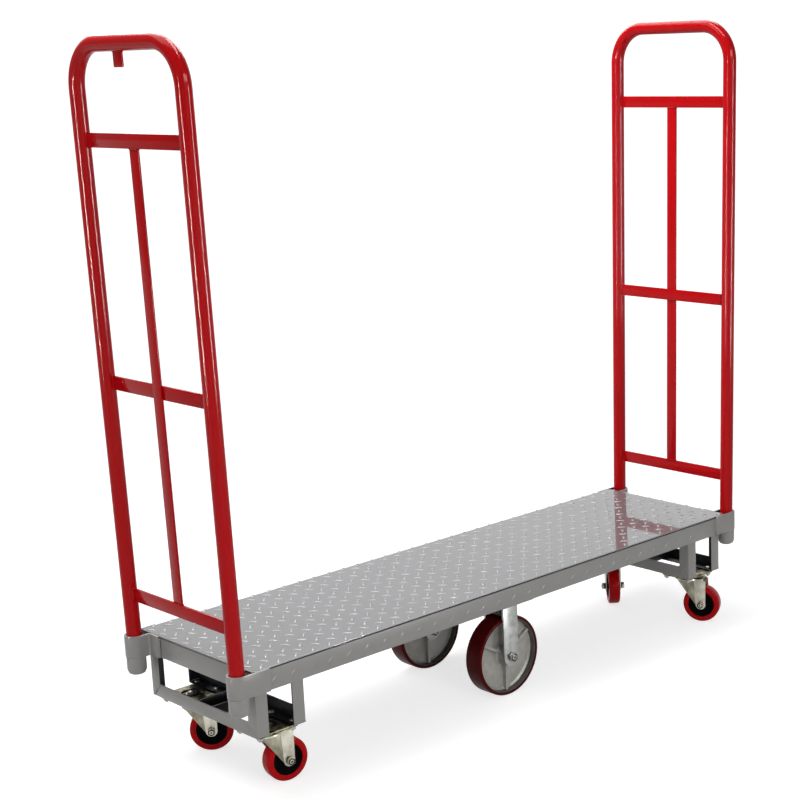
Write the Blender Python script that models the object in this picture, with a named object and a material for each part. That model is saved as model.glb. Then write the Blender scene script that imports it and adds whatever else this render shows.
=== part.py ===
# Platform dolly: a long tread-plate deck on two centre wheels and four swivel casters,
# with a lift-out push handle in sockets at each end.
# Metres, +Z up, floor at z = 0, deck centred on the origin, +X to the front end, +Y to the left side.
import math

import bmesh
import bpy
from mathutils import Matrix, Vector

# Deck
deck_length = 1.600
deck_width = 0.432
deck_sheet = 0.003
skirt_height = 0.052
skirt_bend_radius = 0.005
end_plate_thickness = 0.005
touch_gap = 0.0003

# Caster frames, bent from angle iron under each end of the deck
frame_end_inset = 0.011
frame_side_inset = 0.011
frame_length = 0.1305
frame_drop = 0.160
angle_leg = 0.032
angle_wall = 0.004

# Handle posts and the sockets that hold them
post_diameter = 0.035
post_wall = 0.002
post_end_offset = 0.0279
lean_degrees = 1.2
socket_play = 0.0004
strap_thickness = 0.005
strap_run = 0.041
strap_bend_radius = 0.004
tab_length = 0.030
cup_diameter = 0.0435
cup_depth = 0.043
cup_floor = 0.004
cup_bottom_radius = 0.010

# Handles, heights above the deck
handle_height = 1.312
grip_clearance = 0.1984
handle_bend_radius = 0.092
bar_width = 0.031
bar_thickness = 0.005
low_bar_height = 0.0994
mid_bar_share = 0.4806
hook_width = 0.032
hook_length = 0.032
hook_offset = 0.027

# Swivel casters
kingpin_side_inset = 0.0585
caster_wheel_diameter = 0.1016
caster_headroom = 0.0193
caster_tread_width = 0.032
caster_core_diameter = 0.069
caster_core_width = 0.029
caster_hub_diameter = 0.026
caster_hub_width = 0.036
caster_core_recess = 0.004
caster_core_rim = 0.006
caster_trail = 0.041
plate_length = 0.112
plate_width = 0.096
plate_thickness = 0.006
plate_corner_radius = 0.009
race_diameter = 0.068
race_height = 0.0085
race_lip = 0.006
crown_diameter = 0.066
crown_thickness = 0.004
fork_wall = 0.0035
fork_front_reach = 0.022
fork_back_reach = 0.006
fork_end_diameter = 0.027
kingpin_diameter = 0.012
kingpin_head_diameter = 0.020
kingpin_head_height = 0.005
kingpin_nut_height = 0.007
caster_axle_diameter = 0.010
caster_nut_width = 0.017
caster_nut_height = 0.0065

# Fixed centre wheels
centre_wheel_offset = 0.145
centre_wheel_diameter = 0.2032
centre_tread_width = 0.052
centre_tread_thickness = 0.0075
centre_rim_width = 0.047
centre_rim_thickness = 0.010
centre_web_thickness = 0.010
centre_hub_diameter = 0.042
centre_hub_width = 0.058
centre_rib_thickness = 0.007
centre_rib_width = 0.030
centre_axle_diameter = 0.0125
centre_nut_width = 0.021
centre_nut_height = 0.009
centre_fork_width = 0.055
centre_fork_wall = 0.005
centre_plate_length = 0.104
centre_plate_thickness = 0.006
wheel_headroom = 0.0345
crossmember_length = 0.104
crossmember_wall = 0.003

# Rounding of small edges
tread_edge_radius = 0.006
centre_tread_edge_radius = 0.005

# Counts and angles
round_steps = 16
tube_steps = 16
bend_steps = 6
corner_steps = 3
edge_steps = 2
arc_steps = 12
centre_wheel_steps = 28
caster_wheel_steps = 24
hexagon = 6
rib_count = 3
smooth_degrees = 35
rib_start_degrees = -90
# Which way each swivel caster trails in the rest pose, turned from +X towards +Y
trail_degrees = {
    ("rear", "right"): -9,
    ("rear", "left"): -38,
    ("front", "right"): -63,
    ("front", "left"): -131,
}

# Plain looks: colour, roughness, metallic
plain_looks = {
    "grey_powder_coat": ((0.33, 0.33, 0.335), 0.45, 0),
    "red_powder_coat": ((0.42, 0.012, 0.016), 0.3, 0),
    "yellow_zinc": ((0.52, 0.49, 0.4), 0.35, 1),
    "cast_iron": ((0.3, 0.3, 0.29), 0.55, 0.6),
    "black_wheel_core": ((0.012, 0.012, 0.012), 0.45, 0),
    "red_polyurethane": ((0.36, 0.012, 0.012), 0.35, 0),
}

# Places that several pieces share
ends = {"rear": -1, "front": 1}
sides = {"left": 1, "right": -1}
post_radius = post_diameter / 2
lean = math.radians(lean_degrees)
half_length = deck_length / 2
half_width = deck_width / 2
crown_bottom = caster_wheel_diameter + caster_headroom
crown_top = crown_bottom + crown_thickness
race_bottom = crown_top + touch_gap
plate_bottom = race_bottom + race_height
plate_top = plate_bottom + plate_thickness
frame_bottom = plate_top + touch_gap
deck_height = frame_bottom + frame_drop
skirt_bottom = deck_height - skirt_height
deck_underside = deck_height - deck_sheet
fold_inside_radius = skirt_bend_radius - deck_sheet
between_skirts = half_width - deck_sheet - touch_gap
socket_bottom = skirt_bottom - cup_depth
socket_depth = deck_height - socket_bottom - cup_floor
socket_middle = deck_height - socket_depth / 2
bore_radius = post_radius + socket_play + math.tan(lean) * socket_depth / 2
post_x = half_length + post_end_offset
post_y = half_width + touch_gap - bore_radius
top_bar_height = handle_height - grip_clearance
mid_bar_height = low_bar_height + mid_bar_share * (top_bar_height - low_bar_height)
frame_outer_x = half_length - frame_end_inset
frame_outer_y = between_skirts - frame_side_inset
kingpin_x = frame_outer_x - frame_length / 2
kingpin_y = frame_outer_y - kingpin_side_inset
caster_axle_height = caster_wheel_diameter / 2
caster_leg_inner = caster_hub_width / 2 + touch_gap
caster_leg_outer = caster_leg_inner + fork_wall
centre_axle_height = centre_wheel_diameter / 2
centre_leg_inner = centre_hub_width / 2 + touch_gap
centre_leg_outer = centre_leg_inner + centre_fork_wall
centre_plate_bottom = centre_wheel_diameter + wheel_headroom
centre_plate_top = centre_plate_bottom + centre_plate_thickness
crossmember_bottom = centre_plate_top + touch_gap


def clear_scene():
    for found in list(bpy.data.objects):
        bpy.data.objects.remove(found, do_unlink=True)


def paint(name, colour, roughness, metallic):
    material = bpy.data.materials.new(name)
    material.use_nodes = True
    material.diffuse_color = (*colour, 1)
    shader = material.node_tree.nodes["Principled BSDF"]
    shader.inputs["Base Color"].default_value = (*colour, 1)
    shader.inputs["Roughness"].default_value = roughness
    shader.inputs["Metallic"].default_value = metallic
    return material


def finish_mesh(name, bm):
    bmesh.ops.recalc_face_normals(bm, faces=bm.faces)
    mesh = bpy.data.meshes.new(name)
    bm.to_mesh(mesh)
    bm.free()
    return mesh


# A closed prism: the outline lies in the first two axes and is pushed along the third
def prism(name, outline, low, high, axes="xyz"):
    bm = bmesh.new()
    slots = ["xyz".index(axis) for axis in axes]

    def vertex(point, level):
        place = [0, 0, 0]
        for slot, value in zip(slots, (*point, level)):
            place[slot] = value
        return bm.verts.new(place)

    bottom = [vertex(point, low) for point in outline]
    top = [vertex(point, high) for point in outline]
    bm.faces.new(bottom)
    bm.faces.new(top)
    for i, corner in enumerate(bottom):
        j = (i + 1) % len(bottom)
        bm.faces.new((corner, bottom[j], top[j], top[i]))
    return finish_mesh(name, bm)


def block(name, x, y, z):
    outline = [(x[0], y[0]), (x[1], y[0]), (x[1], y[1]), (x[0], y[1])]
    return prism(name, outline, z[0], z[1])


def circle(radius, steps, centre=(0, 0), start=0, sweep=360):
    count = steps if sweep == 360 else steps + 1
    points = []
    for i in range(count):
        angle = math.radians(start + sweep * i / steps)
        points.append((centre[0] + radius * math.cos(angle), centre[1] + radius * math.sin(angle)))
    return points


# A ring turned about the third axis from a closed outline of (radius, height) points
def turned(name, outline, steps, axis="z"):
    bm = bmesh.new()
    rows = []
    for i in range(steps):
        angle = 2 * math.pi * i / steps
        across, up = math.cos(angle), math.sin(angle)
        row = []
        for radius, height in outline:
            place = (radius * across, radius * up, height)
            if axis == "y":
                place = (radius * across, height, radius * up)
            row.append(bm.verts.new(place))
        rows.append(row)
    for i in range(steps):
        here, there = rows[i], rows[(i + 1) % steps]
        for j in range(len(outline)):
            k = (j + 1) % len(outline)
            bm.faces.new((here[j], there[j], there[k], here[k]))
    return finish_mesh(name, bm)


def rounded_rectangle(half_x, half_y, radius):
    points = []
    for sign_x, sign_y, start in ((1, 1, 0), (-1, 1, 90), (-1, -1, 180), (1, -1, 270)):
        centre = (sign_x * (half_x - radius), sign_y * (half_y - radius))
        points += circle(radius, corner_steps, centre, start, 90)
    return points


# Joins meshes into one solid and then cuts others out of it
def carved(name, solids, cuts=()):
    helpers = [bpy.data.objects.new(f"{name}_{i}", mesh) for i, mesh in enumerate([*solids, *cuts])]
    for helper in helpers:
        bpy.context.scene.collection.objects.link(helper)
    base = helpers[0]
    for i, helper in enumerate(helpers[1:], start=1):
        joint = base.modifiers.new(helper.name, "BOOLEAN")
        joint.operation = "UNION" if i < len(solids) else "DIFFERENCE"
        joint.solver = "EXACT"
        joint.object = helper
    depsgraph = bpy.context.evaluated_depsgraph_get()
    result = bpy.data.meshes.new_from_object(base.evaluated_get(depsgraph))
    result.name = name
    for helper in helpers:
        bpy.data.objects.remove(helper, do_unlink=True)
    return result


def add(name, mesh, material, location=(0, 0, 0), turn=(0, 0, 0), parent=None):
    mesh.materials.clear()
    mesh.materials.append(material)
    mesh.shade_smooth()
    mesh.set_sharp_from_angle(angle=math.radians(smooth_degrees))
    piece = bpy.data.objects.new(name, mesh)
    piece.location = location
    piece.rotation_euler = turn
    piece.parent = parent
    bpy.context.scene.collection.objects.link(piece)
    return piece


def pivot(name, location, turn=(0, 0, 0), parent=None):
    empty = bpy.data.objects.new(name, None)
    empty.location = location
    empty.rotation_euler = turn
    empty.parent = parent
    bpy.context.scene.collection.objects.link(empty)
    return empty


# Points of a band of even thickness to both sides of a centre line
def thickened(line, thickness):
    left, right = [], []
    for i, point in enumerate(line):
        before = line[max(i - 1, 0)]
        after = line[min(i + 1, len(line) - 1)]
        along = Vector((after[0] - before[0], after[1] - before[1])).normalized()
        across = Vector((-along.y, along.x)) * thickness / 2
        left.append((point[0] + across.x, point[1] + across.y))
        right.append((point[0] - across.x, point[1] - across.y))
    return left + right[::-1]


# Deck: one sheet folded down along both long sides, with a flat plate closing each end
def build_deck(steel):
    outer = skirt_bend_radius
    inner = fold_inside_radius
    right_fold = circle(outer, corner_steps, (half_width - outer, deck_height - outer), 0, 90)
    left_fold = circle(outer, corner_steps, (outer - half_width, deck_height - outer), 90, 90)
    left_inside = circle(inner, corner_steps, (outer - half_width, deck_height - outer), 180, -90)
    right_inside = circle(inner, corner_steps, (half_width - outer, deck_height - outer), 90, -90)
    inner_side = half_width - deck_sheet
    outline = [(half_width, skirt_bottom), *right_fold, *left_fold, (-half_width, skirt_bottom)]
    outline += [(-inner_side, skirt_bottom), *left_inside, *right_inside, (inner_side, skirt_bottom)]
    add("deck_plate", prism("deck_plate", outline, -half_length, half_length, "yzx"), steel)
    wide, high = between_skirts, deck_underside - touch_gap
    corner = fold_inside_radius
    outline = [(wide, skirt_bottom), (wide, high - corner), (wide - corner, high)]
    outline += [(-y, z) for y, z in reversed(outline)]
    for end, sign in ends.items():
        low, high = sorted((sign * half_length, sign * (half_length - end_plate_thickness)))
        add(f"end_plate_{end}", prism("end_plate", outline, low, high, "yzx"), steel)


# An angle iron U: flat flange in the plane of the U, the other flange along its outer edge
def angle_u(name, outer_x, direction):
    section = [
        (0, 0),
        (angle_leg, 0),
        (angle_leg, angle_wall),
        (angle_wall, angle_wall),
        (angle_wall, angle_leg),
        (0, angle_leg),
    ]
    top = deck_underside - touch_gap
    bm = bmesh.new()
    rows = []
    for side, is_top in ((1, True), (1, False), (-1, False), (-1, True)):
        row = []
        for inward, depth in section:
            height = top if is_top else frame_bottom + inward
            place = (outer_x + direction * depth, side * (frame_outer_y - inward), height)
            row.append(bm.verts.new(place))
        rows.append(row)
    for here, there in zip(rows, rows[1:]):
        for j in range(len(section)):
            k = (j + 1) % len(section)
            bm.faces.new((here[j], there[j], there[k], here[k]))
    bm.faces.new(rows[0])
    bm.faces.new(rows[-1])
    return finish_mesh(name, bm)


def build_frames(steel):
    for end, sign in ends.items():
        outer = sign * frame_outer_x
        inner = sign * (frame_outer_x - frame_length)
        add(f"caster_frame_{end}_outer", angle_u("caster_frame_outer", outer, -sign), steel)
        add(f"caster_frame_{end}_inner", angle_u("caster_frame_inner", inner, sign), steel)


# Socket: a strap from the skirt, round the post and back to the end plate, over a closed cup
def build_sockets(steel):
    mid_radius = bore_radius + strap_thickness / 2
    bend = strap_bend_radius + strap_thickness / 2
    tab_x = half_length + touch_gap + strap_thickness / 2
    return_y = post_y - mid_radius
    line = [(half_length - strap_run, post_y + mid_radius)]
    line += circle(mid_radius, arc_steps, (post_x, post_y), 90, -180)
    line += circle(bend, corner_steps, (tab_x + bend, return_y - bend), 90, 90)
    line += [(tab_x, return_y - bend - tab_length)]
    band = thickened(line, strap_thickness)

    fillet_centre = (cup_diameter / 2 - cup_bottom_radius, socket_bottom + cup_bottom_radius)
    fillet = circle(cup_bottom_radius, corner_steps, fillet_centre, -90, 90)
    drain = cup_floor / 2
    cup_top = skirt_bottom - touch_gap
    profile = [(drain, socket_bottom), *fillet, (cup_diameter / 2, cup_top), (bore_radius, cup_top)]
    profile += [(bore_radius, socket_bottom + cup_floor), (drain, socket_bottom + cup_floor)]
    cup = turned("socket_cup", profile, round_steps)

    for end, end_sign in ends.items():
        for side, side_sign in sides.items():
            outline = [(end_sign * x, side_sign * y) for x, y in band]
            mesh = prism("socket_band", outline, skirt_bottom, deck_height)
            add(f"socket_band_{end}_{side}", mesh, steel)
            place = (end_sign * post_x, side_sign * post_y, 0)
            add(f"socket_cup_{end}_{side}", cup, steel, place)


# Hollow round tube along a flat path in the YZ plane
def tube(name, path, radius, wall, steps):
    bm = bmesh.new()
    skins = []
    for skin_radius in (radius, radius - wall):
        rows = []
        for i, point in enumerate(path):
            before = path[max(i - 1, 0)]
            after = path[min(i + 1, len(path) - 1)]
            along = Vector((0, after[0] - before[0], after[1] - before[1])).normalized()
            across = Vector((0, -along.z, along.y))
            centre = Vector((0, point[0], point[1]))
            row = []
            for j in range(steps):
                angle = 2 * math.pi * j / steps
                spoke = across * math.cos(angle) + Vector((math.sin(angle), 0, 0))
                row.append(bm.verts.new(centre + spoke * skin_radius))
            rows.append(row)
        for here, there in zip(rows, rows[1:]):
            for j in range(steps):
                k = (j + 1) % steps
                bm.faces.new((here[j], here[k], there[k], there[j]))
        skins.append(rows)
    for end in (0, -1):
        outer, inner = skins[0][end], skins[1][end]
        for j in range(steps):
            k = (j + 1) % steps
            bm.faces.new((outer[j], outer[k], inner[k], inner[j]))
    return finish_mesh(name, bm)


# Handle: bent tube, three flat rungs and an upright flat bar; heights are measured from the pivot
def build_handles(red):
    above_pivot = deck_height - socket_middle
    top = handle_height + above_pivot
    foot_lift = touch_gap + post_radius * math.sin(lean)
    foot = foot_lift - socket_depth / 2
    bend = handle_bend_radius
    path = [(post_y, foot)]
    path += circle(bend, bend_steps, (post_y - bend, top - bend), 0, 90)
    path += circle(bend, bend_steps, (bend - post_y, top - bend), 90, 90)
    path += [(-post_y, foot)]
    tube_mesh = tube("handle_tube", path, post_radius, post_wall, tube_steps)

    half_bar = bar_thickness / 2
    reach = post_y - math.sqrt(post_radius**2 - half_bar**2) - touch_gap
    offset_near = bar_thickness + touch_gap - half_bar
    offset_reach = post_y - math.sqrt(post_radius**2 - offset_near**2) - touch_gap
    rungs = {
        "low": (low_bar_height, 0, reach),
        "mid": (mid_bar_height, bar_thickness + touch_gap, offset_reach),
        "top": (top_bar_height, 0, reach),
    }
    upright_low = low_bar_height + above_pivot + bar_width / 2 + touch_gap
    upright_high = top_bar_height + above_pivot - bar_width / 2 - touch_gap
    for end, sign in ends.items():
        seat = (sign * post_x, 0, socket_middle)
        carrier = pivot(f"handle_{end}", seat, (0, sign * lean, 0))
        add(f"handle_{end}_tube", tube_mesh, red, parent=carrier)
        for rung, (height, inboard, half_span) in rungs.items():
            middle = -sign * inboard
            level = height + above_pivot
            x = (middle - half_bar, middle + half_bar)
            z = (level - bar_width / 2, level + bar_width / 2)
            mesh = block("handle_rung", x, (-half_span, half_span), z)
            add(f"handle_{end}_rung_{rung}", mesh, red, parent=carrier)
        x = (-half_bar, half_bar)
        y = (-bar_width / 2, bar_width / 2)
        mesh = block("handle_upright", x, y, (upright_low, upright_high))
        add(f"handle_{end}_upright", mesh, red, parent=carrier)
        if end == "rear":
            hook_top = top - post_radius - touch_gap
            y = (hook_offset - hook_width / 2, hook_offset + hook_width / 2)
            mesh = block("handle_hook_tab", x, y, (hook_top - hook_length, hook_top))
            add(f"handle_{end}_hook_tab", mesh, red, parent=carrier)


# Tyre ring with rounded shoulders
def tread_profile(inner, outer, width, edge):
    half = width / 2
    low = circle(edge, edge_steps, (outer - edge, edge - half), -90, 90)
    high = circle(edge, edge_steps, (outer - edge, half - edge), 0, 90)
    return [(inner, -half), *low, *high, (inner, half)]


# A bolt along Y: hexagon heads outside both fork walls and a plain shank between them
def cross_bolt(name, shank_diameter, wall_outer, nut_width, nut_height):
    inner = wall_outer + touch_gap
    outer = inner + nut_height
    nut_radius = nut_width / 2 / math.cos(math.pi / hexagon)
    shank = prism(name, circle(shank_diameter / 2, round_steps), -inner - nut_height / 2,
                  inner + nut_height / 2, "xzy")
    hex_outline = circle(nut_radius, hexagon)
    heads = [prism(name, hex_outline, low, high, "xzy") for low, high in ((-outer, -inner), (inner, outer))]
    return carved(name, [shank, *heads])


# Mounting plate with the bearing race under it, bored for the kingpin
def swivel_plate_mesh():
    outline = rounded_rectangle(plate_length / 2, plate_width / 2, plate_corner_radius)
    plate = prism("caster_plate", outline, plate_bottom, plate_top)
    outer = race_diameter / 2
    inside_plate = plate_bottom + plate_thickness / 2
    step = race_bottom + race_height / 2
    upper = prism("caster_race", circle(outer, round_steps), step, inside_plate)
    lower = prism("caster_race", circle(outer - race_lip, round_steps), race_bottom, inside_plate)
    hole = prism("kingpin_hole", circle(kingpin_diameter / 2 + touch_gap, round_steps),
                 race_bottom - plate_thickness, plate_top + plate_thickness)
    return carved("caster_plate", [plate, upper, lower], [hole])


def kingpin_mesh():
    shank = kingpin_diameter / 2
    head = kingpin_head_diameter / 2
    head_low = plate_top + touch_gap
    nut_high = crown_bottom - touch_gap
    low = nut_high - kingpin_nut_height
    body = prism("caster_kingpin", circle(shank, round_steps), low, head_low + kingpin_head_height / 2)
    top = prism("caster_kingpin", circle(head, round_steps), head_low, head_low + kingpin_head_height)
    nut = prism("caster_kingpin", circle(head, hexagon), low - touch_gap, nut_high)
    return carved("caster_kingpin", [body, top, nut])


# Swivel fork: a round crown under the race and two walls that rake back to the axle
def swivel_fork_mesh():
    end = fork_end_diameter / 2
    back = caster_trail + fork_back_reach
    wall_top = crown_bottom + crown_thickness / 2
    shoulder = crown_bottom - crown_thickness
    run, rise = caster_trail + fork_front_reach, shoulder - caster_axle_height
    rake = math.pi - math.atan2(rise, run) + math.acos(end / math.hypot(run, rise))
    start = math.degrees(rake)
    wall_outline = [(-fork_front_reach, wall_top), (-fork_front_reach, shoulder)]
    wall_outline += circle(end, arc_steps, (caster_trail, caster_axle_height), start, 360 - start)
    wall_outline += [(caster_trail + end, shoulder), (back, wall_top)]
    walls = []
    for sign in (-1, 1):
        low, high = sorted((sign * caster_leg_inner, sign * caster_leg_outer))
        walls.append(prism("caster_fork", wall_outline, low, high, "xzy"))
    bridge = block("caster_fork", (-fork_front_reach, back), (-caster_leg_outer, caster_leg_outer),
                   (crown_bottom, crown_top - touch_gap))
    crown = prism("caster_fork", circle(crown_diameter / 2, round_steps), crown_bottom, crown_top)
    kingpin_hole = prism("caster_fork", circle(kingpin_diameter / 2 + touch_gap, round_steps),
                         crown_bottom - crown_thickness, crown_top + crown_thickness)
    axle_centre = (caster_trail, caster_axle_height)
    axle_outline = circle(caster_axle_diameter / 2 + touch_gap, round_steps, axle_centre)
    axle_hole = prism("caster_fork", axle_outline, -crown_diameter, crown_diameter, "xzy")
    return carved("caster_fork", [crown, bridge, *walls], [kingpin_hole, axle_hole])


def caster_core_mesh():
    bore = caster_axle_diameter / 2 + touch_gap
    hub, rim = caster_hub_diameter / 2, caster_core_diameter / 2
    hub_half, rim_half = caster_hub_width / 2, caster_core_width / 2
    web_half = rim_half - caster_core_recess
    lip = rim - caster_core_rim
    half = [(bore, hub_half), (hub, hub_half), (hub, web_half), (lip, web_half), (lip, rim_half),
            (rim, rim_half)]
    profile = half + [(radius, -height) for radius, height in reversed(half)]
    return turned("caster_core", profile, caster_wheel_steps, "y")


def build_casters(zinc, core_black, tread_red):
    plate, kingpin, fork = swivel_plate_mesh(), kingpin_mesh(), swivel_fork_mesh()
    core = caster_core_mesh()
    ring = tread_profile(caster_core_diameter / 2 + touch_gap, caster_wheel_diameter / 2,
                         caster_tread_width, tread_edge_radius)
    tread = turned("caster_tread", ring, caster_wheel_steps, "y")
    axle = cross_bolt("caster_axle", caster_axle_diameter, caster_leg_outer, caster_nut_width,
                      caster_nut_height)
    for (end, side), degrees in trail_degrees.items():
        tag = f"{end}_{side}"
        place = (ends[end] * kingpin_x, sides[side] * kingpin_y, 0)
        add(f"caster_plate_{tag}", plate, zinc, place)
        add(f"caster_kingpin_{tag}", kingpin, zinc, place)
        swivel = pivot(f"swivel_{tag}", place, (0, 0, math.radians(degrees)))
        add(f"caster_fork_{tag}", fork, zinc, parent=swivel)
        axle_place = (caster_trail, 0, caster_axle_height)
        add(f"caster_axle_{tag}", axle, zinc, axle_place, parent=swivel)
        add(f"caster_core_{tag}", core, core_black, axle_place, parent=swivel)
        add(f"caster_tread_{tag}", tread, tread_red, axle_place, parent=swivel)


# Fixed fork: a flat plate with two straight walls with round ends
def centre_fork_mesh():
    half = centre_fork_width / 2
    overlap = centre_plate_thickness / 2
    wall_outline = circle(half, arc_steps, (0, centre_axle_height), 180, 180)
    wall_outline += [(half, centre_plate_bottom + overlap), (-half, centre_plate_bottom + overlap)]
    walls = []
    for sign in (-1, 1):
        low, high = sorted((sign * centre_leg_inner, sign * centre_leg_outer))
        walls.append(prism("centre_fork", wall_outline, low, high, "xzy"))
    plate_half = centre_leg_outer + plate_corner_radius
    outline = rounded_rectangle(centre_plate_length / 2, plate_half, plate_corner_radius)
    plate = prism("centre_fork", outline, centre_plate_bottom, centre_plate_top)
    bore = centre_axle_diameter / 2 + touch_gap
    hole = prism("centre_fork", circle(bore, round_steps, (0, centre_axle_height)), -plate_half,
                 plate_half, "xzy")
    return carved("centre_fork", [plate, *walls], [hole])


def centre_core_mesh():
    bore = centre_axle_diameter / 2 + touch_gap
    hub = centre_hub_diameter / 2
    rim = centre_wheel_diameter / 2 - centre_tread_thickness - touch_gap
    inside = rim - centre_rim_thickness
    half = [(bore, centre_hub_width / 2), (hub, centre_hub_width / 2), (hub, centre_web_thickness / 2),
            (inside, centre_web_thickness / 2), (inside, centre_rim_width / 2), (rim, centre_rim_width / 2)]
    profile = half + [(radius, -height) for radius, height in reversed(half)]
    wheel = turned("centre_core", profile, centre_wheel_steps, "y")
    ribs = []
    for i in range(rib_count):
        angle = math.radians(rib_start_degrees) + 2 * math.pi * i / rib_count
        rib_half = centre_rib_width / 2
        start, stop = (hub + bore) / 2, (inside + rim) / 2
        rib = block("centre_core", (start, stop), (-rib_half, rib_half),
                    (-centre_rib_thickness / 2, centre_rib_thickness / 2))
        rib.transform(Matrix.Rotation(-angle, 4, "Y"))
        ribs.append(rib)
    return carved("centre_core", [wheel, *ribs])


def build_centre_wheels(steel, zinc, iron, tread_red):
    wall = crossmember_wall
    half = crossmember_length / 2
    top = deck_underside - touch_gap
    outline = [(-half, top), (-half, crossmember_bottom), (half, crossmember_bottom), (half, top),
               (half - wall, top), (half - wall, crossmember_bottom + wall),
               (wall - half, crossmember_bottom + wall), (wall - half, top)]
    reach = between_skirts - fold_inside_radius
    add("centre_crossmember", prism("centre_crossmember", outline, -reach, reach, "xzy"), steel)
    fork, core = centre_fork_mesh(), centre_core_mesh()
    outer = centre_wheel_diameter / 2
    ring = tread_profile(outer - centre_tread_thickness, outer, centre_tread_width,
                         centre_tread_edge_radius)
    tread = turned("centre_tread", ring, centre_wheel_steps, "y")
    axle = cross_bolt("centre_axle", centre_axle_diameter, centre_leg_outer, centre_nut_width,
                      centre_nut_height)
    for side, sign in sides.items():
        y = sign * centre_wheel_offset
        add(f"centre_fork_{side}", fork, zinc, (0, y, 0))
        axle_place = (0, y, centre_axle_height)
        add(f"centre_axle_{side}", axle, zinc, axle_place)
        add(f"centre_core_{side}", core, iron, axle_place)
        add(f"centre_tread_{side}", tread, tread_red, axle_place)


def main():
    clear_scene()
    finishes = {name: paint(name, *look) for name, look in plain_looks.items()}
    grey_steel, red_steel = finishes["grey_powder_coat"], finishes["red_powder_coat"]
    zinc, iron = finishes["yellow_zinc"], finishes["cast_iron"]
    core_black, tread_red = finishes["black_wheel_core"], finishes["red_polyurethane"]
    build_deck(grey_steel)
    build_frames(grey_steel)
    build_sockets(grey_steel)
    build_handles(red_steel)
    build_casters(zinc, core_black, tread_red)
    build_centre_wheels(grey_steel, zinc, iron, tread_red)


main()
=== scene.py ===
# Platform dolly: tread-plate deck, lift-out handles at both ends, four swivel casters, two centre wheels.
# Metres, +Z up, floor at z = 0. Every piece is placed in its mesh and rides on a body of the frame.
import math

import bmesh
import bpy
from mathutils import Matrix, Quaternion, Vector


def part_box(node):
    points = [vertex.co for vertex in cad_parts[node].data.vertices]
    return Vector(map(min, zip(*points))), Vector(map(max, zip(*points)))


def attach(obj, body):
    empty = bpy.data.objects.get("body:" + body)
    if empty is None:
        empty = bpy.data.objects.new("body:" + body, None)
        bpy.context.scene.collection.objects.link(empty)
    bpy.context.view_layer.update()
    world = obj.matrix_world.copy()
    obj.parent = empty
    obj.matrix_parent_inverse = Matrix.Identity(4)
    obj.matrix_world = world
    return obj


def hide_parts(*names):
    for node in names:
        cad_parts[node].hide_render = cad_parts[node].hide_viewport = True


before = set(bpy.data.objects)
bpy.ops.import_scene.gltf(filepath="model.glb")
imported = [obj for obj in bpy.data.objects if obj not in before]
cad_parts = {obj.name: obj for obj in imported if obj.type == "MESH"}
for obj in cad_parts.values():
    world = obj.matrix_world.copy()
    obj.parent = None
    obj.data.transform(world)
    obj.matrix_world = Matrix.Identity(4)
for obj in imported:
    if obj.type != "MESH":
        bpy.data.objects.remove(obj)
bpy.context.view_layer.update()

ends = {"rear": -1, "front": 1}
sides = {"left": 1, "right": -1}

# ---- one piece at a time: selection, edit mode and finishing


def clearSelection():
    active = bpy.context.view_layer.objects.active
    if active and active.mode == "EDIT":
        bpy.ops.object.mode_set(mode="OBJECT")
    bpy.ops.object.select_all(action="DESELECT")


def takeUp(piece):  # makes it the only selected object
    clearSelection()
    piece.select_set(True)
    bpy.context.view_layer.objects.active = piece


def openMesh(piece):  # in edit mode with everything selected
    takeUp(piece)
    bpy.ops.object.mode_set(mode="EDIT")
    bpy.ops.mesh.select_mode(type="VERT")
    bpy.ops.mesh.select_all(action="SELECT")


def closeMesh():
    bpy.ops.object.mode_set(mode="OBJECT")


def pick(kind, test):  # in edit mode: selects the vertices, edges or faces that pass the test
    bpy.ops.mesh.select_mode(type=kind)
    bpy.ops.mesh.select_all(action="DESELECT")
    mesh = bpy.context.edit_object.data
    cage = bmesh.from_edit_mesh(mesh)
    for part in {"VERT": cage.verts, "EDGE": cage.edges, "FACE": cage.faces}[kind]:
        if test(part):
            part.select_set(True)
    cage.select_flush_mode()
    bmesh.update_edit_mesh(mesh, loop_triangles=False, destructive=False)


def settle(piece, name=None):  # the place, turn and size go into the mesh
    takeUp(piece)
    bpy.ops.object.transform_apply(location=True, rotation=True, scale=True)
    if name:
        piece.name = name
    return piece


def newPiece(add, name, scale=(1, 1, 1), **settings):  # a basic form with its place and size in the mesh
    clearSelection()
    add(**settings)
    bpy.context.object.scale = scale
    return settle(bpy.context.object, name)


def moved(piece, move=(0, 0, 0), degrees=0, axis="Z"):  # in the mesh, turned about the origin first
    piece.data.transform(Matrix.Translation(move) @ Matrix.Rotation(math.radians(degrees), 4, axis))
    return piece


def apply(piece, kind, **settings):
    takeUp(piece)
    bpy.ops.object.modifier_add(type=kind)
    modifier = piece.modifiers[-1]
    for setting, value in settings.items():
        setattr(modifier, setting, value)
    bpy.ops.object.modifier_apply(modifier=modifier.name)
    return piece


def soften(piece, width, segments=2, degrees=30):  # rounds every edge sharper than the angle
    return apply(piece, "BEVEL", width=width, segments=segments, limit_method="ANGLE",
                 angle_limit=math.radians(degrees), use_clamp_overlap=True, miter_outer="MITER_ARC")


def repeat(piece, count, step):
    return apply(piece, "ARRAY", count=count, use_relative_offset=False, use_constant_offset=True,
                 constant_offset_displace=step)


def extrude(*step):  # in edit mode: draws the selection along
    bpy.ops.mesh.extrude_region_move(TRANSFORM_OT_translate={"value": step})


def spin(steps, degrees, centre, axis):  # in edit mode: draws the selection round
    bpy.ops.mesh.spin(steps=steps, angle=math.radians(degrees), center=centre, axis=axis)


def roundEdges(test, radius, segments):  # in edit mode
    pick("EDGE", test)
    bpy.ops.mesh.bevel(offset=radius, segments=segments, affect="EDGES")


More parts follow.
